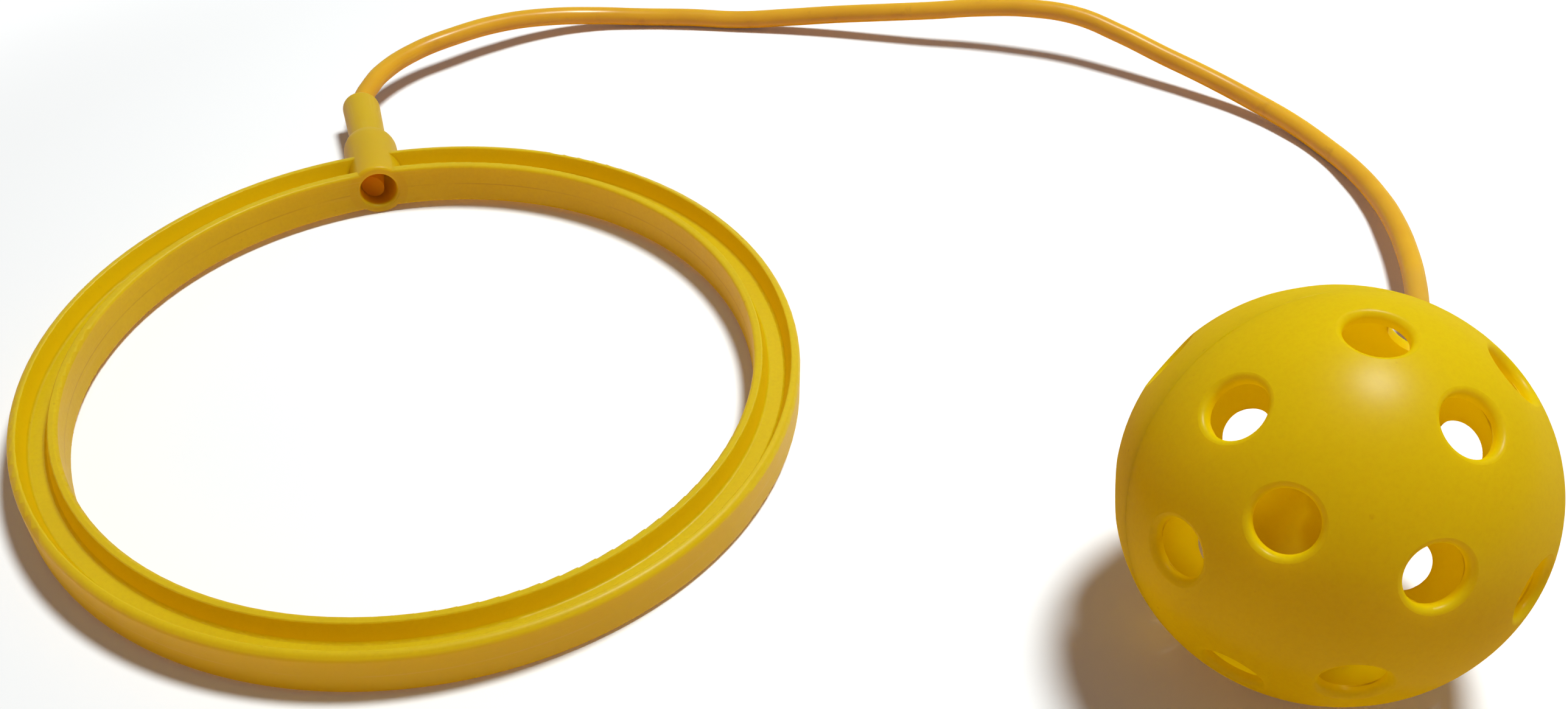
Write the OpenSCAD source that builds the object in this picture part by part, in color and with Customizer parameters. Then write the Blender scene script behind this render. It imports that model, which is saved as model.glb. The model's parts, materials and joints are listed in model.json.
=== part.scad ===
// Ankle skip toy: a moulded ring worn round one ankle, and a perforated ball
// on a cord that swings round it and is jumped with the other foot.
// Millimetres. The origin is the centre of the ring at half its height,
// +Z is the ring's axis and +Y points from the centre to the cord's boss.

/* [Ring] */
// Outer diameter of the ring
ring_d = 166; // [140:1:220]
// Width of the ring's section, from its inner face to its outer face
ring_w = 10; // [9:0.2:14]
// Height of the ring
ring_h = 10.4; // [8:0.2:12.6]
// Thickness of the inner and outer walls at their tops
wall_t = 1.9; // [1.8:0.1:2.4]
// How much thicker each wall is where it meets the web
wall_draft = 1.3; // [0.4:0.1:1.5]
// Thickness of the web that joins the walls at half height
web_t = 2; // [1.2:0.1:3.2]
// Fillet between the web and the walls
web_fillet = 0.6; // [0.3:0.1:0.8]
// Rounding of the walls' edges along the grooves
lip_round = 0.3; // [0.2:0.1:0.4]
// Rounding of the ring's edges round its opening
opening_round = 0.8; // [0.4:0.1:1.1]
// Rounding of the ring's outer edges
rim_round = 1.5; // [0.6:0.1:1.5]

/* [Boss and neck] */
// Diameter of the boss that crosses the ring's section
boss_d = 13.4; // [13:0.1:16]
// How far the straight part of the boss stands out from the ring
boss_reach = 8; // [5:0.5:14]
// Length of the round shoulder between boss and neck
shoulder_len = 4.5; // [3:0.5:12]
// Diameter of the neck where it leaves the shoulder
neck_d = 9; // [8.6:0.1:11]
// Diameter of the neck at its outer end
neck_end_d = 9.7; // [9.6:0.1:11]
// Length of the neck beyond the shoulder
neck_len = 19; // [10:0.5:26]
// Rounding of the neck's outer end
neck_round = 1.3; // [0.4:0.1:1.3]
// How far the cord's hole widens towards the neck's end
flare = 0.7; // [0.5:0.1:0.8]
// Length over which it widens
flare_len = 4; // [2:0.5:8]
// Rounding of the boss where it meets the ring's inner face
boss_round = 0.9; // [0.4:0.1:1.5]
// Diameter of the bore that houses the cord's stop
bore_d = 9; // [8.6:0.1:10.8]
// Depth of that bore from the ring's inner face
bore_depth = 18; // [15:0.5:20]
// Rounding of the bore's mouth
bore_round = 0.7; // [0.3:0.1:1]

/* [Cord] */
// Diameter of the cord
cord_d = 5; // [4:0.1:6]
// Gap round the cord where it turns in the neck
cord_gap = 0.25; // [0.2:0.05:0.4]
// Gap round each stop where it turns beside the piece that holds it
stop_gap = 0.3; // [0.2:0.05:0.5]
// Gap between the cord and the holes of its stops
grip_gap = 0.05; // [0.02:0.01:0.1]
// Length of the collar that stops the cord in the boss
collar_len = 6; // [4:0.5:8]
// Diameter of the disc that stops the cord in the ball
disc_d = 15; // [13:0.5:18]
// Thickness of that disc
disc_t = 2.5; // [1.5:0.1:4]
// Diameter of the disc's hub
hub_d = 9; // [7:0.5:12]
// Length of the hub behind the disc
hub_len = 4; // [2:0.5:8]
// How far the cord's cut end lies behind the hub
tail_len = 2; // [1:0.5:6]
// How far the cord's other cut end lies inside the bore's mouth
end_inset = 4; // [2:0.5:6]

/* [Ball] */
// Outer diameter of the ball
ball_d = 72; // [60:1:90]
// Thickness of the ball's wall
ball_t = 2.2; // [1.8:0.1:3]
// Diameter of the holes in the ball
hole_d = 10.4; // [8:0.1:11]
// Rounding of the holes' outer edges
hole_round = 1.2; // [0.4:0.1:1.6]
// Number of holes in the ring of holes next to each pole
inner_holes = 4; // [3:1:4]
// Angle of those holes from the pole
inner_tilt = 39; // [34:0.5:42]
// Number of holes in the ring of holes next to the seam
outer_holes = 8; // [5:1:8]
// Angle of those holes from the pole
outer_tilt = 66.5; // [62:0.5:68]
// Height of the tongue that centres one half on the other
tongue_h = 1.2; // [0.6:0.1:2]
// Gap round the tongue
tongue_gap = 0.1; // [0.05:0.05:0.2]

/* [Ball as it lies] */
// How far the ball's centre lies to the right of the boss's axis
ball_right = 145.3; // [140:0.1:150]
// How far the ball's centre lies in front of the neck's end
ball_ahead = 228.8; // [223:0.1:235]
// Compass direction that the front half's pole faces
pole_azimuth = -99.5; // [-110:0.5:-90]
// Height angle that the front half's pole faces
pole_elevation = 24.5; // [20:0.5:30]
// Turn of the hole pattern about the pole
pole_spin = -20.5; // [-25:0.5:-15]

/* [Hidden] */
$fn = 96;
// Small overlap that keeps faces of one solid from only touching
eps = 0.05;

ring_r = ring_d / 2;
opening_r = ring_r - ring_w;
boss_r = boss_d / 2;
neck_r = neck_d / 2;
neck_end_r = neck_end_d / 2;
bore_r = bore_d / 2;
collar_r = bore_r - stop_gap;
cord_r = cord_d / 2;
// Radius of the cord's hole through the neck, and of the holes in its stops
way_r = cord_r + cord_gap;
grip_r = cord_r + grip_gap;
// The shoulder is an arc that leaves the boss level and falls to the neck
shoulder_drop = boss_r - neck_r;
shoulder_r = (pow(shoulder_len, 2) + pow(shoulder_drop, 2)) / (2 * shoulder_drop);
// Places along the boss's axis
shoulder_y = ring_r + boss_reach;
neck_y = shoulder_y + shoulder_len;
mouth_y = neck_y + neck_len;
seat_y = opening_r + bore_depth;
collar_y = seat_y - stop_gap - collar_len;

// The toy rests on the boss at the back and on the ring's edge at the front,
// so the floor leans a little against the ring's plane
boss_lift = boss_r - ring_h / 2;
floor_slope = boss_lift / (ring_r + opening_r);
function floor_z(y) = -boss_r + floor_slope * (opening_r - y);

ball_r = ball_d / 2;
ball_ri = ball_r - ball_t;
// Outside of the tongue's seat, half way through the wall
tongue_r = ball_ri + ball_t / 2;
hole_r = hole_d / 2;
// Where a hole's rounded edge meets the ball, across and along the hole's axis
lip_r = hole_r + hole_round;
lip_z = sqrt(pow(ball_r, 2) - pow(lip_r, 2));
// The ball rests on the edge of its lowest hole
ball_y = mouth_y - ball_ahead;
ball_at = [ball_right, ball_y, floor_z(ball_y) + lip_z];
pole_turn = [0, 90 - pole_elevation, pole_azimuth];
// Half the step between the outer holes, which straddle each inner hole
outer_shift = 180 / outer_holes;

// The cord goes into the second inner hole of the rear half
cord_hole_spin = pole_spin + 360 / inner_holes;
cord_hole_tilt = 180 - inner_tilt;
function turned_y(v, a) = [v[0] * cos(a) + v[2] * sin(a), v[1], v[2] * cos(a) - v[0] * sin(a)];
function turned_z(v, a) = [v[0] * cos(a) - v[1] * sin(a), v[0] * sin(a) + v[1] * cos(a), v[2]];
function along(tilt, spin) = [sin(tilt) * cos(spin), sin(tilt) * sin(spin), cos(tilt)];
cord_way = turned_z(turned_y(along(cord_hole_tilt, cord_hole_spin), pole_turn[1]), pole_turn[2]);
// Outer face of the stop in the ball, measured from the ball's centre
disc_z = sqrt(pow(ball_ri, 2) - pow(disc_d / 2, 2)) - stop_gap;

// The cord's route starts at its cut end, which leans a little in the bore,
// and runs straight through the collar and the neck
boss_route = [
    [-1.2, opening_r + end_inset, -1.2],
    [0, collar_y - 2, 0],
    [0, neck_y, 0],
    [0, mouth_y - flare_len + 0.5, 0]
];
// From the middle of the neck's end it goes round to the right in two low arches,
// and rests on the floor between them and beyond the second one
free_route = [
    [1, 3, 0.5],
    [3.5, 7.5, 1.2],
    [7.5, 13.5, 1.5],
    [17.5, 22.5, 1.5],
    [30, 28.5, 1.5],
    [44, 34, 0.5],
    [58, 37.5, -1.5],
    [72, 38, -3.5],
    [86, 35, -4.5],
    [99.5, 30.5, -4.5],
    [113, 25, -4.5],
    [126.5, 19.5, -3],
    [139.5, 13.5, -1],
    [152, 7, 1],
    [164.5, 0.5, 3],
    [177, -5.5, 5],
    [189, -12.5, 6.5],
    [200, -20.5, 6.5],
    [209, -30, 4.5],
    [217.5, -40.5, 2],
    [225.5, -51, 0],
    [233, -62.5, -2],
    [238.5, -75, -3],
    [241.5, -88, -3.5],
    [241.5, -101.5, -2.5],
    [239.5, -114.5, -1.5],
    [235.5, -127, 0],
    [230.5, -139, 1],
    [224, -151.5, 2],
    [216.5, -164, 2],
    [208, -176, 2],
    [198, -187, 1.5],
    [187, -196.5, 1.5]
];
// It ends straight along the hole's axis, from outside the ball to behind the stop's hub
ball_stations = [ball_r + 14, ball_r + 1, disc_z - disc_t - hub_len - tail_len];
ball_route = [for (s = ball_stations) ball_at + s * cord_way];
route = concat(boss_route, [for (p = free_route) p + [0, mouth_y, 0]], ball_route);
cord_sides = 10;

plastic = "gold";
cord_tint = "orange";

// The section of the ring to the right of its axis: a block with rounded edges and
// two grooves, which leave the walls and the web
module ring_section() {
    half_h = ring_h / 2;
    inner_x = opening_r + opening_round;
    outer_x = ring_r - rim_round;
    difference() {
        union() {
            translate([inner_x, -half_h]) square([outer_x - inner_x, ring_h]);
            translate([opening_r, opening_round - half_h]) square([ring_w / 2, ring_h - 2 * opening_round]);
            translate([ring_r - ring_w / 2, rim_round - half_h]) square([ring_w / 2, ring_h - 2 * rim_round]);
            for (s = [-1, 1]) {
                translate([inner_x, s * (half_h - opening_round)]) circle(opening_round);
                translate([outer_x, s * (half_h - rim_round)]) circle(rim_round);
            }
        }
        translate([opening_r + ring_w / 2, 0]) {
            groove_outline();
            mirror([0, 1]) groove_outline();
        }
    }
}

// What is cut from the section above the web, about the section's middle
module groove_outline() {
    half_groove();
    mirror([1, 0]) half_groove();
}

// The groove's half towards the outer wall, whose face leans out by wall_draft,
// with a fillet at the web and a rounded lip at the top
module half_groove() {
    web_y = web_t / 2;
    top = ring_h / 2;
    over = top + eps;
    depth = top - web_y;
    face = sqrt(pow(depth, 2) + pow(wall_draft, 2));
    lean = (face - wall_draft) / depth;
    top_x = ring_w / 2 - wall_t;
    fillet_at = [top_x - wall_draft - web_fillet * lean, web_y + web_fillet];
    fillet_end = fillet_at + web_fillet / face * [depth, -wall_draft];
    lip_at = [top_x + lip_round * lean, top - lip_round];
    lip_end = lip_at + lip_round / face * [-depth, wall_draft];
    polygon([[-eps, web_y], [fillet_at[0], web_y], fillet_end, [top_x, top], [top_x, over], [-eps, over]]);
    translate(fillet_at) circle(web_fillet);
    difference() {
        polygon([lip_at, lip_end, [-eps, lip_end[1]], [-eps, over], [lip_at[0], over]]);
        translate(lip_at) circle(lip_round);
    }
}

// Half outline of boss, shoulder and neck, with the boss's axis upwards
module boss_outline() {
    inner_end = opening_r - eps;
    translate([0, inner_end + boss_round]) square([boss_r, shoulder_y - inner_end - boss_round]);
    translate([0, inner_end]) square([boss_r - boss_round, boss_round + eps]);
    translate([boss_r - boss_round, inner_end + boss_round]) circle(boss_round);
    intersection() {
        translate([boss_r - shoulder_r, shoulder_y]) circle(shoulder_r);
        translate([0, shoulder_y - eps]) square([boss_r, shoulder_len + eps]);
    }
    polygon([
        [0, neck_y - eps],
        [neck_r, neck_y - eps],
        [neck_end_r, mouth_y - neck_round],
        [0, mouth_y - neck_round]
    ]);
    translate([0, mouth_y - neck_round - eps]) square([neck_end_r - neck_round, neck_round + eps]);
    intersection() {
        translate([neck_end_r - neck_round, mouth_y - neck_round]) circle(neck_round);
        translate([0, mouth_y - neck_round - eps]) square([neck_end_r, neck_round + eps]);
    }
}

// Half outline of what is cut from boss and neck: the stop's bore and the cord's hole
module bore_outline() {
    square([bore_r, seat_y]);
    square([way_r, mouth_y + eps]);
    polygon([
        [0, mouth_y - flare_len],
        [way_r, mouth_y - flare_len],
        [way_r + flare, mouth_y],
        [way_r + flare, mouth_y + eps],
        [0, mouth_y + eps]
    ]);
    difference() {
        square([bore_r + bore_round, opening_r + bore_round]);
        translate([bore_r + bore_round, opening_r + bore_round]) circle(bore_round);
    }
}

module along_boss() {
    rotate([-90, 0, 0]) rotate_extrude() children();
}

module ring() {
    color(plastic) difference() {
        union() {
            rotate_extrude() ring_section();
            difference() {
                along_boss() boss_outline();
                cylinder(r = opening_r, h = 2 * boss_d, center = true);
            }
        }
        along_boss() bore_outline();
    }
}

// The collar that holds the cord's end in the boss, seated on the end of the bore
module ring_end_stop() {
    color(cord_tint) along_boss() translate([grip_r, collar_y]) square([collar_r - grip_r, collar_len]);
}

// Lays its children in the ball's own frame, with the front half's pole up
module in_ball() {
    translate(ball_at) rotate(pole_turn) children();
}

// Cuts one hole with a rounded outer edge along +Z
module ball_hole() {
    depth = 3 * ball_t;
    rotate_extrude() difference() {
        translate([0, lip_z - depth]) square([lip_r, depth + hole_round + 1]);
        translate([hole_r, lip_z - depth - eps]) square([lip_r, depth - hole_round + eps]);
        intersection() {
            translate([lip_r, lip_z - hole_round]) circle(hole_round);
            translate([hole_r, lip_z - hole_round - eps]) square([lip_r, hole_round + eps]);
        }
    }
}

// The holes of one half: one at the pole, a ring next to it and a ring next to the seam
module half_holes() {
    ball_hole();
    for (i = [0 : inner_holes - 1])
        rotate([0, inner_tilt, pole_spin + i * 360 / inner_holes]) ball_hole();
    for (i = [0 : outer_holes - 1])
        rotate([0, outer_tilt, pole_spin + outer_shift + i * 360 / outer_holes]) ball_hole();
}

// Half outline of a shell between two radii, cut off below the height from
module shell_outline(r_out, r_in, from) {
    intersection() {
        difference() {
            circle(r_out);
            circle(r_in);
        }
        translate([0, from]) square(2 * r_out);
    }
}

module ball_front_half() {
    color(plastic) in_ball() difference() {
        rotate_extrude() {
            shell_outline(ball_r, ball_ri, 0);
            shell_outline(tongue_r - tongue_gap, ball_ri, -tongue_h);
        }
        half_holes();
    }
}

module ball_rear_half() {
    color(plastic) in_ball() mirror([0, 0, 1]) difference() {
        rotate_extrude() difference() {
            shell_outline(ball_r, ball_ri, 0);
            translate([0, -eps]) square([tongue_r, tongue_h + tongue_gap + eps]);
        }
        half_holes();
    }
}

// The disc and hub that hold the cord's end inside the ball
module ball_end_stop() {
    color(cord_tint) in_ball() rotate([0, cord_hole_tilt, cord_hole_spin])
        rotate_extrude() {
            translate([grip_r, disc_z - disc_t]) square([disc_d / 2 - grip_r, disc_t]);
            translate([grip_r, disc_z - disc_t - hub_len]) square([hub_d / 2 - grip_r, hub_len + eps]);
        }
}

// Unit vectors for the sweep: the way along the route, then two across it.
// Each cross vector is the last one turned as little as the route turns.
function unit(v) = v / norm(v);
last = len(route) - 1;
function way(i) = unit(route[min(i + 1, last)] - route[max(i - 1, 0)]);
function level(v, w) = unit(v - (v * w) * w);
function across(i) = i == 0 ? level([0, 0, 1], way(0)) : level(across(i - 1), way(i));
function spoke(i, turn, side) = cos(turn) * side + sin(turn) * cross(way(i), side);

module cord() {
    points = [
        for (i = [0 : last])
            let (side = across(i))
                for (k = [0 : cord_sides - 1]) route[i] + cord_r * spoke(i, k * 360 / cord_sides, side)
    ];
    ends = [
        [for (k = [0 : cord_sides - 1]) k],
        [for (k = [cord_sides - 1 : -1 : 0]) last * cord_sides + k]
    ];
    walls = [
        for (i = [0 : last - 1])
            for (k = [0 : cord_sides - 1])
                let (a = i * cord_sides + k, b = i * cord_sides + (k + 1) % cord_sides)
                    for (face = [[a, b + cord_sides, b], [a, a + cord_sides, b + cord_sides]]) face
    ];
    color(cord_tint) polyhedron(points, concat(ends, walls));
}

function run(i) = i == 0 ? 0 : run(i - 1) + norm(route[i] - route[i - 1]);
echo(cord_length = run(last));
echo(cord_way = cord_way, ball_at = ball_at);

ring();
cord();
ring_end_stop();
ball_front_half();
ball_rear_half();
ball_end_stop();
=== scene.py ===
import json
import math

import bpy
from mathutils import Euler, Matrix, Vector


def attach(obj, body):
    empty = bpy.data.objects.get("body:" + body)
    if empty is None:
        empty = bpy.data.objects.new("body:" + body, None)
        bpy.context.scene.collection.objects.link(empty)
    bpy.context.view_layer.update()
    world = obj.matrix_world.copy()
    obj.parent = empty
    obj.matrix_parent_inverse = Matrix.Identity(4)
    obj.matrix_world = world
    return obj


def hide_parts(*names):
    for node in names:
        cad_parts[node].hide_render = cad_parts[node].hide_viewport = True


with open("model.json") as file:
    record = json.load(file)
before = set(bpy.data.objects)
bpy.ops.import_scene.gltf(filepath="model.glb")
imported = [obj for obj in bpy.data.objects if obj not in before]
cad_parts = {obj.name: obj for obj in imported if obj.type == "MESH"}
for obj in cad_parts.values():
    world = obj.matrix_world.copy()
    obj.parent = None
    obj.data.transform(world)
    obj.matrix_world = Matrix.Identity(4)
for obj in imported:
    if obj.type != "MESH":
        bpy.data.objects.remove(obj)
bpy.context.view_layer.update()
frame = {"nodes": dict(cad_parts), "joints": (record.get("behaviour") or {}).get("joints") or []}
nodes = frame["nodes"]
scene = bpy.context.scene
mm = 0.001
pictureMiddle = (0.07, 0.0, 0.0)  # metres, about the middle of what the camera sees


def inMetres(lengths):
    return [length * mm for length in lengths]


def ballSwivel():
    joint = next(j for j in frame["joints"] if j["name"] == "ball_swivel")
    return Vector(joint["pos_m"]), Vector(joint["axis"])


def addObject(name, data):
    made = bpy.data.objects.new(name, data)
    scene.collection.objects.link(made)
    return made


# Camera: place and aim in the part's frame, lens from the photograph's own pixels
cameraFit = {
    "frame": (2576, 1165),
    "place": (-2.08, -264.46, 218.78),  # mm
    "turn": 16.78,  # degrees from +Y towards +X
    "dip": 43.28,  # degrees below the horizon
    "focal": 2530.94,  # pixels
    "centre": (1248.77, 723.97),  # where the lens axis meets the picture, pixels
    "sensor": 36.0,
}


def makeCamera(fit):
    width, height = fit["frame"]
    data = bpy.data.cameras.new("photoCamera")
    data.sensor_fit = "HORIZONTAL"
    data.sensor_width = fit["sensor"]
    data.lens = fit["focal"] * fit["sensor"] / width
    data.shift_x = (width / 2 - fit["centre"][0]) / width
    data.shift_y = (fit["centre"][1] - height / 2) / width
    data.clip_start = 0.01
    camera = addObject("photoCamera", data)
    camera.location = Vector(fit["place"]) * mm
    camera.rotation_euler = (math.radians(90 - fit["dip"]), 0, math.radians(-fit["turn"]))
    scene.camera = camera


makeCamera(cameraFit)
print("camera placed")


# One wrapper for every node tree: values join by + - * /, other nodes come from node()
class Wire:
    def __init__(self, tree, socket=None):
        self.tree = tree
        self.socket = socket

    def node(self, kind, settings=None, inputs=None, output=0):
        made = self.tree.nodes.new(kind)
        for key, value in (settings or {}).items():
            setattr(made, key, value)
        for key, value in (inputs or {}).items():
            target = made.inputs[key]
            if isinstance(value, Wire):
                self.tree.links.new(value.socket, target)
            else:
                target.default_value = value
        return Wire(self.tree, made.outputs[output])

    def sum(self, operation, first, second=0.0, third=0.0):
        values = {0: first, 1: second, 2: third}
        return self.node("ShaderNodeMath", {"operation": operation}, values)

    def __add__(self, other):
        return self.sum("ADD", self, other)

    def __radd__(self, other):
        return self.sum("ADD", other, self)

    def __sub__(self, other):
        return self.sum("SUBTRACT", self, other)

    def __rsub__(self, other):
        return self.sum("SUBTRACT", other, self)

    def __mul__(self, other):
        return self.sum("MULTIPLY", self, other)

    def __rmul__(self, other):
        return self.sum("MULTIPLY", other, self)

    def __truediv__(self, other):
        return self.sum("DIVIDE", self, other)

    def __rtruediv__(self, other):
        return self.sum("DIVIDE", other, self)

    def __abs__(self):
        return self.sum("ABSOLUTE", self)

    def between(self, low, high):
        settings = {"interpolation_type": "SMOOTHSTEP"}
        return self.node("ShaderNodeMapRange", settings, {"Value": self, "From Min": low, "From Max": high})

    def noise(self, where, scale, detail=2.0, rough=0.5):
        inputs = {"Vector": where, "Scale": scale, "Detail": detail, "Roughness": rough}
        return self.node("ShaderNodeTexNoise", {}, inputs)

    def blend(self, amount, first, second):
        return self.node("ShaderNodeMix", {"data_type": "RGBA"}, {0: amount, 6: first, 7: second}, 2)

    def vector(self, operation, first, second=(0, 0, 0), output=0):
        return self.node("ShaderNodeVectorMath", {"operation": operation}, {0: first, 1: second}, output)


def colour(red, green, blue):
    linear = [((c / 255 + 0.055) / 1.055) ** 2.4 for c in (red, green, blue)]
    return (*linear, 1)


def newMaterial(name):
    material = bpy.data.materials.new(name)
    material.use_nodes = True
    tree = material.node_tree
    shader = tree.nodes["Principled BSDF"]
    return material, Wire(tree), shader


def setShader(wire, shader, **values):
    for name, value in values.items():
        target = shader.inputs[name.replace("_", " ")]
        if isinstance(value, Wire):
            wire.tree.links.new(value.socket, target)
        else:
            target.default_value = value


# Cord: the route of the part's source, in mm, from the cut end in the boss to the one in the ball
cordSizes = {
    "diameter": 5.0,
    "sides": 24,
    "step": 1.5,
    "cutLean": 0.36,  # how far the cut in the bore faces up
    "cutSwell": 0.1,  # how much the cord is swollen at that cut
    "cutLength": 4.0,
    "neck": 95.5,  # where the neck starts along +Y
    "mouth": 114.5,  # where it ends
    "bossRun": [(-1.2, 77, -1.2), (0, 82.7, 0), (0, 95.5, 0), (0, 111, 0)],
    "freeRun": [
        (1, 3, 0.5),
        (3.5, 7.5, 1.2),
        (7.5, 13.5, 1.5),
        (17.5, 22.5, 1.5),
        (30, 28.5, 1.5),
        (44, 34, 0.5),
        (58, 37.5, -1.5),
        (72, 38, -3.5),
        (86, 35, -4.5),
        (99.5, 30.5, -4.5),
        (113, 25, -4.5),
        (126.5, 19.5, -3),
        (139.5, 13.5, -1),
        (152, 7, 1),
        (164.5, 0.5, 3),
        (177, -5.5, 5),
        (189, -12.5, 6.5),
        (200, -20.5, 6.5),
        (209, -30, 4.5),
        (217.5, -40.5, 2),
        (225.5, -51, 0),
        (233, -62.5, -2),
        (238.5, -75, -3),
        (241.5, -88, -3.5),
        (241.5, -101.5, -2.5),
        (239.5, -114.5, -1.5),
        (235.5, -127, 0),
        (230.5, -139, 1),
        (224, -151.5, 2),
        (216.5, -164, 2),
        (208, -176, 2),
        (198, -187, 1.5),
        (187, -196.5, 1.5),
    ],
    "ballRun": (50, 37, 24.16),  # distances from the ball's centre along its swivel
}


def cordRoute(sizes):
    centre, way = ballSwivel()
    points = [Vector(p) * mm for p in sizes["bossRun"]]
    points += [(Vector(p) + Vector((0, sizes["mouth"], 0))) * mm for p in sizes["freeRun"]]
    return points + [centre + way * s * mm for s in sizes["ballRun"]]


def cordLine(points):
    data = bpy.data.curves.new("cordLine", "CURVE")
    data.dimensions = "3D"
    data.resolution_u = 16
    spline = data.splines.new("BEZIER")
    spline.bezier_points.add(len(points) - 1)
    for handle, place in zip(spline.bezier_points, points):
        handle.co = place
        handle.handle_left_type = handle.handle_right_type = "AUTO"
    return addObject("cordLine", data)


def socketIn(tree, name, kind):
    return tree.interface.new_socket(name, in_out="INPUT", socket_type=kind).identifier


def newTree(name, inputs):
    tree = bpy.data.node_groups.new(name, "GeometryNodeTree")
    idents = {"Geometry": socketIn(tree, "Geometry", "NodeSocketGeometry")}
    for label, kind in inputs.items():
        idents[label] = socketIn(tree, label, kind)
    tree.interface.new_socket("Geometry", in_out="OUTPUT", socket_type="NodeSocketGeometry")
    start = tree.nodes.new("NodeGroupInput")
    end = tree.nodes.new("NodeGroupOutput")
    wires = {s.name: Wire(tree, s) for s in start.outputs if s.name}
    return tree, idents, wires, Wire(tree), end


def finishTree(wire, end, geometry, material):
    real = wire.node("GeometryNodeRealizeInstances", {}, {"Geometry": geometry})
    done = wire.node("GeometryNodeSetMaterial", {}, {"Geometry": real, "Material": material})
    wire.tree.links.new(done.socket, end.inputs[0])


def runTree(carrier, tree, idents, values, name):
    modifier = carrier.modifiers.new(tree.name, "NODES")
    modifier.node_group = tree
    for label, value in values.items():
        modifier[idents[label]] = value
    graph = bpy.context.evaluated_depsgraph_get()
    mesh = bpy.data.meshes.new_from_object(carrier.evaluated_get(graph))
    carrier.modifiers.remove(modifier)
    mesh.name = name
    return addObject(name, mesh)


def cordTree():
    names = ("Radius", "Step", "Cut Lean", "Cut Swell", "Cut Length", "Cut Height")
    kinds = {name: "NodeSocketFloat" for name in names}
    kinds["Sides"] = "NodeSocketInt"
    kinds["Material"] = "NodeSocketMaterial"
    tree, idents, wires, wire, end = newTree("cordTube", kinds)
    inputs = {"Curve": wires["Geometry"], "Length": wires["Step"]}
    line = wire.node("GeometryNodeResampleCurve", {"mode": "LENGTH"}, inputs)
    run = wire.node("GeometryNodeSplineParameter", output=1)
    inputs = {"Geometry": line, "Name": "run", "Value": run}
    marked = wire.node("GeometryNodeStoreNamedAttribute", {}, inputs)
    inputs = {"Radius": wires["Radius"], "Resolution": wires["Sides"]}
    profile = wire.node("GeometryNodeCurvePrimitiveCircle", {}, inputs)
    swell = 1 + wires["Cut Swell"] * (1 - run.between(0, wires["Cut Length"]))
    inputs = {"Curve": marked, "Profile Curve": profile, "Scale": swell, "Fill Caps": True}
    tube = wire.node("GeometryNodeCurveToMesh", {}, inputs)
    reach = wire.node("GeometryNodeInputNamedAttribute", {}, {"Name": "run"})
    height = wire.node("ShaderNodeSeparateXYZ", {}, {0: wire.node("GeometryNodeInputPosition")}, 2)
    back = wires["Cut Lean"] * (height - wires["Cut Height"]) * (1 - reach.between(0, wires["Step"]))
    lean = wire.node("ShaderNodeCombineXYZ", {}, {1: back})
    cut = wire.node("GeometryNodeSetPosition", {}, {"Geometry": tube, "Offset": lean})
    smooth = wire.node("GeometryNodeSetShadeSmooth", {}, {"Geometry": cut})
    finishTree(wire, end, smooth, wires["Material"])
    return tree, idents


cordLook = {
    "deep": colour(208, 152, 6),
    "pale": colour(216, 162, 10),
    "grime": colour(160, 104, 20),
    "strained": colour(204, 156, 40),
    "cut": colour(224, 150, 24),
    "cutDepth": 0.6,  # mm of the run that the cut face takes
    "strain": (409, 417, 426, 436),  # mm of the run where the bend before the ball pales the cord
    "cloud": 60,  # noise scales, per metre
    "grain": 1100,
    "smudge": 160,
    "smudged": 0.25,  # shares of each colour
    "paled": 0.7,
    "cutShare": 0.85,
    "rough": 0.4,
    "grainRough": 0.12,
    "smudgeRough": 0.1,
    "cutRough": 0.3,
    "bump": (0.15, 0.2),  # strength, and depth in mm
    "scatter": (0.5, 2.0, (1.0, 0.6, 0.08)),  # weight, depth in mm and share of each colour
    "coat": (0.2, 2.2, 0.27),  # weight, index and roughness of the skin that gives the highlight
}


def roughen(wire, look, height):
    strength, depth = look["bump"]
    return wire.node("ShaderNodeBump", {}, {"Strength": strength, "Distance": depth * mm, "Height": height})


def addScatter(wire, shader, look):
    weight, depth, shares = look["scatter"]
    setShader(wire, shader, Subsurface_Weight=weight, Subsurface_Scale=depth * mm, Subsurface_Radius=shares)


def addCoat(wire, shader, look, share=1):
    weight, index, rough = look["coat"]
    setShader(wire, shader, Coat_Weight=weight * share, Coat_IOR=index, Coat_Roughness=rough)


def vinyl(look):
    material, wire, shader = newMaterial("goldenVinyl")
    where = wire.node("ShaderNodeTexCoord", output=3)
    run = wire.node("ShaderNodeAttribute", {"attribute_name": "run"}, output=2)
    cloud = wire.noise(where, look["cloud"], 3).between(0.3, 0.7)
    grain = wire.noise(where, look["grain"], 3)
    smudge = wire.noise(where, look["smudge"], 4, 0.6).between(0.6, 0.75)
    start, full, fade, stop = inMetres(look["strain"])
    strain = run.between(start, full) * (1 - run.between(fade, stop))
    tint = wire.blend(cloud, look["deep"], look["pale"])
    tint = wire.blend(smudge * look["smudged"], tint, look["grime"])
    tint = wire.blend(strain * look["paled"], tint, look["strained"])
    cut = 1 - run.between(0, look["cutDepth"] * mm)
    tint = wire.blend(cut * look["cutShare"], tint, look["cut"])
    rough = look["rough"] + look["grainRough"] * grain
    rough = rough + look["smudgeRough"] * smudge + look["cutRough"] * cut
    setShader(wire, shader, Base_Color=tint, Roughness=rough, Normal=roughen(wire, look, grain))
    setShader(wire, shader, Specular_IOR_Level=0.0)
    addScatter(wire, shader, look)
    addCoat(wire, shader, look, 1 - cut)
    return material


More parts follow.
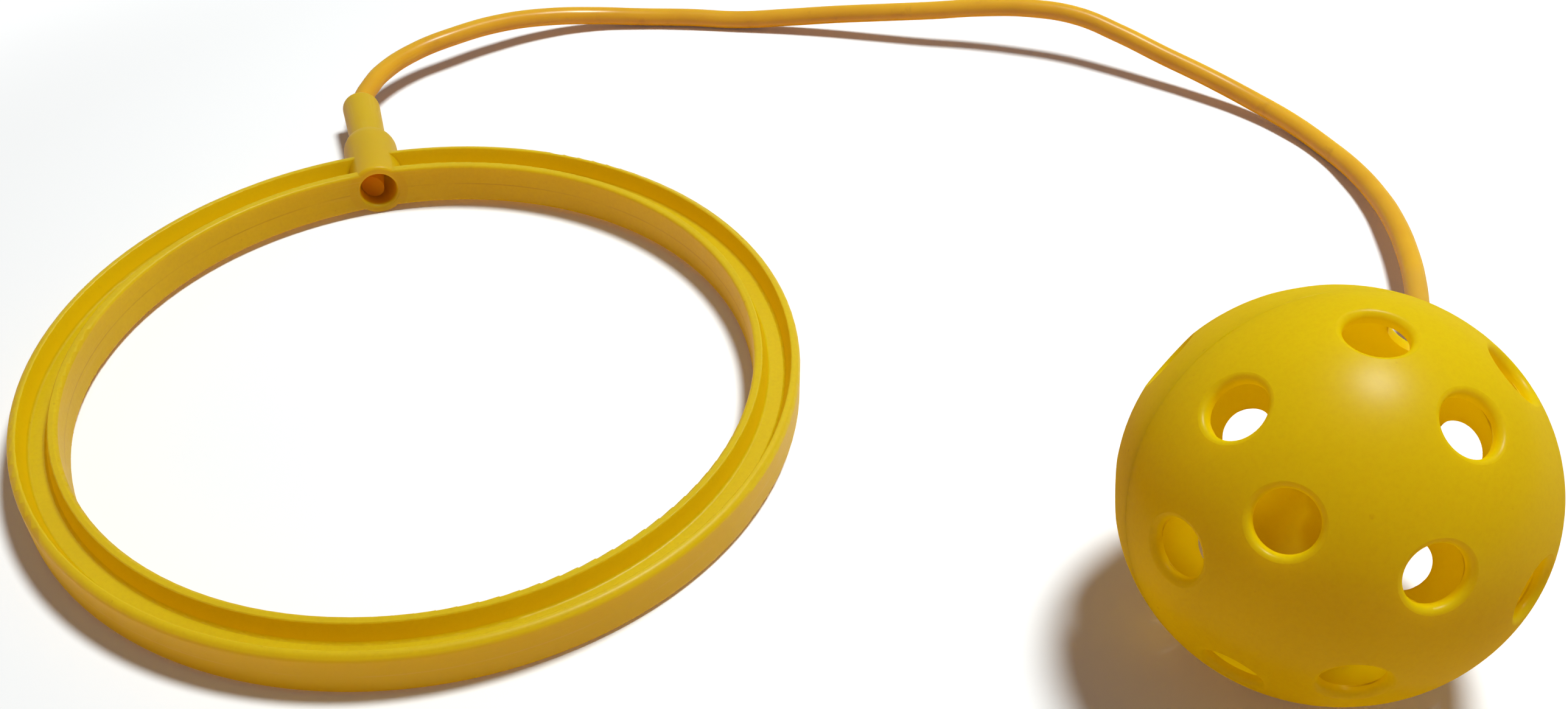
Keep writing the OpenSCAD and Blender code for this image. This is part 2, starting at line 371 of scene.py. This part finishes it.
route = cordRoute(cordSizes)
line = cordLine(route)
tree, idents = cordTree()
cord = runTree(
    line,
    tree,
    idents,
    {
        "Radius": cordSizes["diameter"] / 2 * mm,
        "Step": cordSizes["step"] * mm,
        "Cut Lean": cordSizes["cutLean"],
        "Cut Swell": cordSizes["cutSwell"],
        "Cut Length": cordSizes["cutLength"] * mm,
        "Cut Height": cordSizes["bossRun"][0][2] * mm,
        "Sides": cordSizes["sides"],
        "Material": vinyl(cordLook),
    },
    "cordTube",
)
centreLine = line.to_mesh()
line.to_mesh_clear()
bpy.data.objects.remove(line)
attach(cord, "cord")
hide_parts("cord")


# Moulded plastic: slow colour change, fine grain, specks and each piece's own marks, with painted light and
# shade on the ring and inside the ball
plasticLook = {
    "cloud": 38,  # noise scales, per metre
    "grain": 2200,
    "mottle": 1100,
    "speck": 460,
    "patch": 300,
    "mottled": 0.12,  # shares of grime
    "specked": 0.3,
    "grainLift": 0.3,
    "patchRough": 0.14,
    "grainRough": 0.06,
    "bump": (0.25, 0.1),  # strength, and depth in mm
    "scatter": (0.4, 2.0, (1.0, 0.7, 0.1)),  # weight, depth in mm and share of each colour
}
ringLook = {
    "deep": colour(215, 199, 4),
    "pale": colour(220, 205, 6),
    "through": colour(246, 206, 0),
    "share": 0.39,
    # dirt colour, also used for the painted shade in the crease where the web meets the outer wall
    "grime": colour(140, 92, 6),
    "line": colour(238, 220, 100),
    "rough": 0.4,
    "gloss": 0.45,
    "sheen": (1.0, 0.93, 0.7, 1),
    "coat": (0.0, 1.5, 0.4),
    "outer": (82.4, 82.7),  # mm, beyond which the outer face lies
    "inner": (73.3, 73.6),  # mm, within which the inner face lies
    "corner": (79.9, 1.2, 0.5),  # mm, painted shade in the crease where the web meets the outer wall: radius, height and half width
    "wall": colour(240, 212, 2),  # painted light: the groove's walls lighter and more orange, for the light that goes to and fro between them
    "groove": (78.0, 3.3),  # mm, middle and half width
    "wallFoot": (1.2, 1.8),  # mm, height above which the walls start
    "face": colour(226, 214, 12),  # painted light: the outer face lighter and greener, for light that the lamp does not give it
    "boss": colour(212, 190, 2),  # painted shade: the boss and neck a little darker, as the thicker plastic lets less light through
    "bossEdge": (6.9, 7.3),  # mm from the boss's axis
    "bossStart": (60, 66),  # mm from the ring's axis
    "bore": colour(206, 118, 4),  # painted light and shade inside the bore: darker and orange, for the light that has come through the plastic
    "boreEdge": (4.55, 4.75),  # mm from the boss's axis
    "boreDepth": (73.4, 74.6),  # mm from the ring's axis, where the bore's mouth is
    "boreEnd": (91.0, 93.0),  # mm from it, before the neck
    "parting": 0.2,  # mm, half the width of the line round the middle of the faces
    "partingNoise": 50,
    "layers": (0.02, 0.02, 1),  # draws the noise out along the faces, for drag marks
    "layerNoise": 2600,
    "wornNoise": 25,
}
ballLook = {
    "deep": colour(215, 203, 2),
    "pale": colour(220, 209, 3),
    # painted light: the ball's inner wall lighter, for the light that comes through the shell
    "inside": colour(236, 213, 3),
    "through": colour(243, 217, 0),
    "share": 0.5,
    "grime": colour(150, 100, 4),
    "line": colour(224, 196, 60),
    "rough": 0.4,
    "gloss": 0.0,
    "sheen": (1.0, 0.9, 0.45, 1),
    "coat": (0.11, 2.2, 0.33),  # weight, index and roughness of the skin that gives the broad highlight
    "pole": (-99.5, 24.5),  # degrees, compass direction and height
    "inner": 34.2,  # mm from the centre, within which the inside is painted lighter
    "outer": 35.6,  # mm, beyond which the outside lies
    "seam": (0.2, 45),  # mm, half the width of the line, and scale of the noise that breaks it up
    "scuff": (1.6, 420),  # the same for the scuffs along it
    "wornNoise": 22,
}
stopLook = {
    "deep": colour(190, 120, 14),
    "pale": colour(202, 134, 20),
    "grime": colour(120, 74, 12),
    "through": colour(240, 170, 10),
    "share": 0.3,
    "rough": 0.45,
    "gloss": 0.3,
    "sheen": (1.0, 0.9, 0.5, 1),
    "coat": (0.0, 1.5, 0.4),
}


def band(value, middle, half):
    return 1 - abs(value - middle).between(half * 0.6, half)


def ringMarks(wire, where, look):
    flat = wire.vector("MULTIPLY", where, (1, 1, 0))
    radius = wire.vector("LENGTH", flat, output=1)
    height = abs(wire.vector("DOT_PRODUCT", where, (0, 0, 1), output=1))
    outside = radius.between(*inMetres(look["outer"]))
    within = 1 - radius.between(*inMetres(look["inner"]))
    spread = wire.vector("LENGTH", wire.vector("MULTIPLY", where, (1, 0, 1)), output=1)
    ahead = wire.vector("DOT_PRODUCT", where, (0, 1, 0), output=1)
    boss = ahead.between(*inMetres(look["bossStart"])) * (1 - spread.between(*inMetres(look["bossEdge"])))
    bore = ahead.between(*inMetres(look["boreDepth"])) * (1 - ahead.between(*inMetres(look["boreEnd"])))
    bore = bore * (1 - spread.between(*inMetres(look["boreEdge"])))
    parting = (1 - boss) * band(height, 0, look["parting"] * mm)
    parting = parting * wire.noise(where, look["partingNoise"], 2).between(0.35, 0.6)
    grooveLight = (1 - boss) * band(radius, *inMetres(look["groove"]))
    grooveLight = grooveLight * height.between(*inMetres(look["wallFoot"]))
    reach, rise, half = inMetres(look["corner"])
    corner = band(radius, reach, half) * band(height, rise, half)
    layers = wire.vector("MULTIPLY", where, look["layers"])
    drag = (outside + within) * wire.noise(layers, look["layerNoise"], 3).between(0.52, 0.7)
    drag = drag * wire.noise(where, look["wornNoise"], 2).between(0.4, 0.6)
    # how much of each mark, its colour and how far it stands up
    return [
        # painted light on the groove's walls
        (grooveLight * 0.7, look["wall"], 0.0),
        # painted light on the outer face
        ((1 - boss) * outside * 0.8, look["face"], 0.0),
        # painted shade on the boss and neck
        (boss, look["boss"], 0.0),
        # painted light and shade inside the bore
        (bore * 0.8, look["bore"], 0.0),
        (outside * parting * 0.45, look["line"], 0.4),
        (within * parting * 0.4, look["grime"], -0.4),
        # painted shade in the crease where the web meets the outer wall, in the dirt colour
        (corner * 0.12, look["grime"], 0.0),
        (drag * 0.2, look["line"], -0.8),
    ]


def ballPole(look):
    turn, rise = (math.radians(a) for a in look["pole"])
    return Vector((math.cos(rise) * math.cos(turn), math.cos(rise) * math.sin(turn), math.sin(rise)))


def ballMarks(wire, where, look):
    offset = wire.vector("SUBTRACT", where, tuple(ballSwivel()[0]))
    side = wire.vector("DOT_PRODUCT", offset, tuple(ballPole(look)), output=1)
    depth = wire.vector("LENGTH", offset, output=1)
    inside = 1 - depth.between(look["inner"] * mm, look["outer"] * mm)
    worn = wire.noise(where, look["wornNoise"], 2).between(0.5, 0.6)
    half, scale = look["seam"]
    seam = band(side, 0, half * mm) * wire.noise(where, scale, 3).between(0.5, 0.62)
    half, scale = look["scuff"]
    scuff = worn * band(side, 0, half * mm) * wire.noise(where, scale, 3, 0.6).between(0.56, 0.66)
    return [
        # painted light on the inside of the shell
        (inside, look["inside"], 0.0),
        (seam * 0.06, look["grime"], -0.2),
        (scuff * 0.5, look["line"], 0.4),
    ]


def moulded(name, look, marks=None):
    material, wire, shader = newMaterial(name)
    where = wire.node("ShaderNodeTexCoord", output=3)
    cloud = wire.noise(where, plasticLook["cloud"], 3).between(0.3, 0.7)
    grain = wire.noise(where, plasticLook["grain"], 2)
    mottle = wire.noise(where, plasticLook["mottle"], 3, 0.7).between(0.35, 0.75)
    speck = wire.noise(where, plasticLook["speck"], 2).between(0.74, 0.8)
    patch = wire.noise(where, plasticLook["patch"], 3) - 0.5
    tint = wire.blend(cloud, look["deep"], look["pale"])
    dirt = mottle * plasticLook["mottled"] + speck * plasticLook["specked"]
    tint = wire.blend(dirt, tint, look["grime"])
    height = grain * plasticLook["grainLift"]
    for amount, shade, lift in marks(wire, where, look) if marks else []:
        tint = wire.blend(amount, tint, shade)
        height = height + amount * lift
    rough = look["rough"] + plasticLook["patchRough"] * patch + plasticLook["grainRough"] * grain
    bump = roughen(wire, plasticLook, height)
    setShader(wire, shader, Base_Color=tint, Roughness=rough, Normal=bump)
    setShader(wire, shader, Specular_IOR_Level=look["gloss"], Specular_Tint=look["sheen"])
    addScatter(wire, shader, plasticLook)
    addCoat(wire, shader, look)
    solid = Wire(wire.tree, shader.outputs[0])
    glow = wire.node("ShaderNodeBsdfTranslucent", {}, {"Color": look["through"]})
    both = wire.node("ShaderNodeMixShader", {}, {0: look["share"], 1: solid, 2: glow})
    wire.tree.links.new(both.socket, wire.tree.nodes["Material Output"].inputs[0])
    return material


def dress(piece, material):
    piece.data.materials.clear()
    piece.data.materials.append(material)


ballPlastic = moulded("ballPlastic", ballLook, ballMarks)
stopPlastic = moulded("stopPlastic", stopLook)
dress(nodes["ring"], moulded("ringPlastic", ringLook, ringMarks))
dress(nodes["ball_front_half"], ballPlastic)
dress(nodes["ball_rear_half"], ballPlastic)
dress(nodes["ring_end_stop"], stopPlastic)
dress(nodes["ball_end_stop"], stopPlastic)
print("plastic finished")


# Flash on the ball: slivers at the inner edges of its holes and an uneven bead along its seam
ballSizes = {
    "outer": 36.0,
    "inner": 33.8,
    "hole": 5.2,
    "spin": -20.5,  # degrees, turn of the pattern about the pole
    "rings": ((0, 1, 0), (39, 4, 0), (66.5, 8, 22.5)),  # tilt from the pole, holes, turn of the ring
    "sliver": 0.17,
    "sliverSides": 6,
    "sliverSteps": 20,
    "sliverNoise": 900,
    "sweeps": (1.2, 0.6),  # radians of the edge that a sliver follows
    "seeds": {"front": 3, "rear": 11},
    "seedStep": 7,
    "bead": 0.13,
    "beadSides": 8,
    "beadSteps": 400,
    "beadNoise": 110,
    "sunk": 0.72,  # how much of the bead's unevenness lies below the ball's surface
    "uneven": 0.5,
}


def holeAxes(sizes, look, side):
    turn, rise = look["pole"]
    lay = Euler((0, math.radians(90 - rise), math.radians(turn))).to_matrix()
    axes = []
    for tilt, count, shift in sizes["rings"]:
        for i in range(count):
            t, a = math.radians(tilt), math.radians(sizes["spin"] + shift + i * 360 / count)
            out = math.sin(t)
            axes.append(lay @ Vector((out * math.cos(a), out * math.sin(a), side * math.cos(t))))
    return axes


def holePoints(name, sizes, axes, centre):
    depth = math.sqrt(sizes["inner"] ** 2 - sizes["hole"] ** 2) + sizes["sliver"]
    mesh = bpy.data.meshes.new(name)
    mesh.from_pydata([centre + a * depth * mm for a in axes], [], [])
    store = mesh.attributes.new("axis", "FLOAT_VECTOR", "POINT")
    store.data.foreach_set("vector", [v for a in axes for v in a])
    return addObject(name, mesh)


def sliverTree(sizes):
    kinds = {"Hole Radius": "NodeSocketFloat", "Sliver": "NodeSocketFloat", "Seed": "NodeSocketInt"}
    kinds["Material"] = "NodeSocketMaterial"
    tree, idents, wires, wire, end = newTree("holeSlivers", kinds)
    join = tree.nodes.new("GeometryNodeJoinGeometry")
    along = wire.node("GeometryNodeSplineParameter")
    uneven = 0.4 + wire.noise(wire.node("GeometryNodeInputPosition"), sizes["sliverNoise"])
    taper = 0.1 + 0.9 * wire.sum("SINE", along * math.pi) * uneven
    inputs = {"Radius": wires["Sliver"], "Resolution": sizes["sliverSides"]}
    profile = wire.node("GeometryNodeCurvePrimitiveCircle", {}, inputs)
    axis = wire.node("GeometryNodeInputNamedAttribute", {"data_type": "FLOAT_VECTOR"}, {"Name": "axis"})
    stand = wire.node("FunctionNodeAlignRotationToVector", {"axis": "Z"}, {"Vector": axis})
    for i, sweep in enumerate(sizes["sweeps"]):
        inputs = {"Resolution": sizes["sliverSteps"], "Radius": wires["Hole Radius"], "Sweep Angle": sweep}
        arc = wire.node("GeometryNodeCurveArc", {}, inputs)
        inputs = {"Curve": arc, "Profile Curve": profile, "Scale": taper, "Fill Caps": True}
        sliver = wire.node("GeometryNodeCurveToMesh", {}, inputs)
        inputs = {2: 0.0, 3: 2 * math.pi, 8: wires["Seed"] + i * sizes["seedStep"]}
        angle = wire.node("FunctionNodeRandomValue", {}, inputs, 1)
        spin = wire.node("FunctionNodeAxisAngleToRotation", {}, {"Axis": (0, 0, 1), "Angle": angle})
        inputs = {"Rotation": stand, "Rotate By": spin}
        turn = wire.node("FunctionNodeRotateRotation", {"rotation_space": "LOCAL"}, inputs)
        inputs = {"Points": wires["Geometry"], "Instance": sliver, "Rotation": turn}
        tree.links.new(wire.node("GeometryNodeInstanceOnPoints", {}, inputs).socket, join.inputs[0])
    smooth = wire.node("GeometryNodeSetShadeSmooth", {}, {"Geometry": Wire(tree, join.outputs[0])})
    finishTree(wire, end, smooth, wires["Material"])
    return tree, idents


def seamTree(sizes):
    kinds = {name: "NodeSocketFloat" for name in ("Radius", "Bead", "Uneven")}
    kinds.update({name: "NodeSocketVector" for name in ("Centre", "Turn")})
    kinds["Material"] = "NodeSocketMaterial"
    tree, idents, wires, wire, end = newTree("seamBead", kinds)
    inputs = {"Radius": wires["Radius"], "Resolution": sizes["beadSteps"]}
    line = wire.node("GeometryNodeCurvePrimitiveCircle", {}, inputs)
    place = wire.node("GeometryNodeInputPosition")
    ragged = wire.noise(place, sizes["beadNoise"], 4, 0.6)
    away = wire.vector("NORMALIZE", place)
    lift = wire.vector("SCALE", away)
    height = (ragged - sizes["sunk"]) * wires["Uneven"]
    wire.tree.links.new(height.socket, lift.socket.node.inputs["Scale"])
    uneven = wire.node("GeometryNodeSetPosition", {}, {"Geometry": line, "Offset": lift})
    inputs = {"Radius": wires["Bead"], "Resolution": sizes["beadSides"]}
    profile = wire.node("GeometryNodeCurvePrimitiveCircle", {}, inputs)
    bead = wire.node("GeometryNodeCurveToMesh", {}, {"Curve": uneven, "Profile Curve": profile})
    turn = wire.node("FunctionNodeEulerToRotation", {}, {0: wires["Turn"]})
    inputs = {"Geometry": bead, "Translation": wires["Centre"], "Rotation": turn}
    laid = wire.node("GeometryNodeTransform", {}, inputs)
    smooth = wire.node("GeometryNodeSetShadeSmooth", {}, {"Geometry": laid})
    finishTree(wire, end, smooth, wires["Material"])
    return tree, idents


def addFlash(sizes, look, material):
    centre = ballSwivel()[0]
    tree, idents = sliverTree(sizes)
    for half, side in (("front", 1), ("rear", -1)):
        carrier = holePoints(half + "Holes", sizes, holeAxes(sizes, look, side), centre)
        values = {
            "Hole Radius": sizes["hole"] * mm,
            "Sliver": sizes["sliver"] * mm,
            "Seed": sizes["seeds"][half],
            "Material": material,
        }
        slivers = runTree(carrier, tree, idents, values, half + "Slivers")
        bpy.data.objects.remove(carrier)
        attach(slivers, "ball")
    tree, idents = seamTree(sizes)
    carrier = holePoints("seamCarrier", sizes, [Vector((0, 0, 1))], centre)
    turn = Vector((0, 0, 1)).rotation_difference(ballPole(look)).to_euler()
    values = {
        "Radius": sizes["outer"] * mm,
        "Bead": sizes["bead"] * mm,
        "Uneven": sizes["uneven"] * mm,
        "Centre": tuple(centre),
        "Turn": tuple(turn),
        "Material": material,
    }
    bead = runTree(carrier, tree, idents, values, "seamBead")
    bpy.data.objects.remove(carrier)
    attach(bead, "ball")


addFlash(ballSizes, ballLook, ballPlastic)
print("flash added")


# Floor: the plane that the boss, the ring's front edge, the ball and the cord rest on
floorSizes = {
    "bossRadius": 6.7,
    "ringHalf": 5.2,
    "ringRadius": 83.0,
    "openingRadius": 73.0,
    "half": 3000.0,
}
floorLook = {
    "paper": (0.98, 0.98, 0.98, 1),
    "bounce": (0.9, 0.63, 0.45, 1),  # what it sends up at the object, warm as the photo's shade is
    "glow": (0.03, 0.03, 0.03, 1),  # seen by the camera near the object
    "farGlow": (1, 1, 1, 1),  # seen far from it, where the lamp doesn't reach
    "fade": (0.2, 0.5),  # metres from the picture's middle over which one becomes the other
    "rough": 0.9,
}


def makeFloor(sizes):
    slope = (sizes["bossRadius"] - sizes["ringHalf"]) / (sizes["ringRadius"] + sizes["openingRadius"])
    half = sizes["half"]

    def height(y):
        return -sizes["bossRadius"] + slope * (sizes["openingRadius"] - y)

    corners = [(-half, -half), (half, -half), (half, half), (-half, half)]
    mesh = bpy.data.meshes.new("floor")
    mesh.from_pydata([(x * mm, y * mm, height(y) * mm) for x, y in corners], [], [(0, 1, 2, 3)])
    floor = addObject("floor", mesh)
    return floor


def seenDirectly(wire):
    names = ("Is Camera Ray", "Is Glossy Ray", "Is Transmission Ray")
    rays = [wire.node("ShaderNodeLightPath", output=name) for name in names]
    return wire.sum("MAXIMUM", wire.sum("MAXIMUM", rays[0], rays[1]), rays[2])


def floorPaper(look):
    material, wire, shader = newMaterial("floorPaper")
    tint = wire.blend(seenDirectly(wire), look["bounce"], look["paper"])
    setShader(wire, shader, Base_Color=tint, Roughness=look["rough"], Specular_IOR_Level=0.0)
    paper = Wire(wire.tree, shader.outputs[0])
    where = wire.node("ShaderNodeTexCoord", output=3)
    away = wire.vector("DISTANCE", where, pictureMiddle, output=1).between(*look["fade"])
    shine = wire.blend(away, look["glow"], look["farGlow"])
    glow = wire.node("ShaderNodeEmission", {}, {"Color": shine})
    lit = wire.node("ShaderNodeAddShader", {}, {0: paper, 1: glow})
    either = wire.node("ShaderNodeMixShader", {}, {0: seenDirectly(wire), 1: paper, 2: lit})
    wire.tree.links.new(either.socket, wire.tree.nodes["Material Output"].inputs[0])
    return material


floor = makeFloor(floorSizes)
dress(floor, floorPaper(floorLook))


# Light: one broad lamp up on the right, and a warm low light from all round
lampSizes = {
    "from": (0.324, 0.05, 1.0),
    "distance": 1.0,
    "size": 0.24,
    "power": 10.5,
    "tint": (0.96, 1.02, 1.03),
    "sky": (0.12, 0.087, 0.078),
}


def makeLight(sizes):
    data = bpy.data.lights.new("softLamp", "AREA")
    data.shape = "DISK"
    data.size = sizes["size"]
    data.energy = sizes["power"]
    data.color = sizes["tint"]
    lamp = addObject("softLamp", data)
    way = Vector(sizes["from"]).normalized()
    lamp.location = Vector(pictureMiddle) + way * sizes["distance"]
    lamp.rotation_euler = way.to_track_quat("Z", "Y").to_euler()
    world = bpy.data.worlds.new("studio")
    world.use_nodes = True
    scene.world = world
    wire = Wire(world.node_tree)
    light = wire.blend(seenDirectly(wire), (*sizes["sky"], 1), (1, 1, 1, 1))
    background = world.node_tree.nodes["Background"]
    background.inputs["Strength"].default_value = 1
    world.node_tree.links.new(light.socket, background.inputs["Color"])


makeLight(lampSizes)
scene.view_settings.view_transform = "Standard"
print("floor and light ready")
